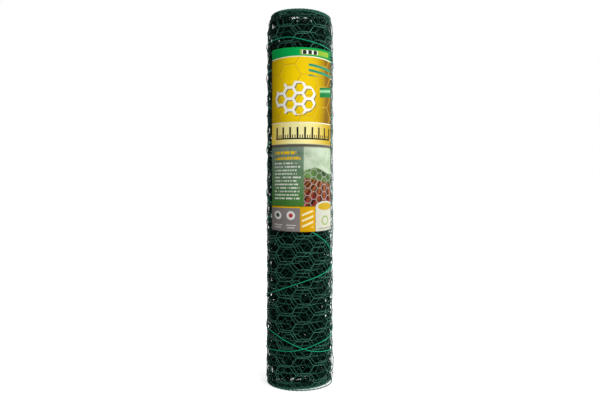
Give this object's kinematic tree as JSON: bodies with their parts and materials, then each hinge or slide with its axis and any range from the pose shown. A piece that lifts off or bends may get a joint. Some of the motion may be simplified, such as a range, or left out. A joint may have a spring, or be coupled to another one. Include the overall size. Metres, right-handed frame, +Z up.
{
  "type": "roll of chicken wire",
  "caption": "Upright roll of green vinyl-coated hexagonal wire netting with an open bore, held closed by a wound binding wire, with a printed card label round its front.",
  "frame": {"origin": "centre of the roll's lower end, on the floor it stands on", "axes": "+Z up along the roll's axis, -Y towards the middle of the label side, +X to the right as seen from the front"},
  "size_m": [0.1157, 0.1175, 0.6096],
  "materials": {
    "vinyl_coated_netting": "satin",
    "vinyl_coated_wire": "semi gloss",
    "printed_card": "coated"
  },
  "bodies": {
    "root": {"netting_roll": "vinyl_coated_netting", "binding_wire": "vinyl_coated_wire", "label": "printed_card"}
  },
  "joints": []
}
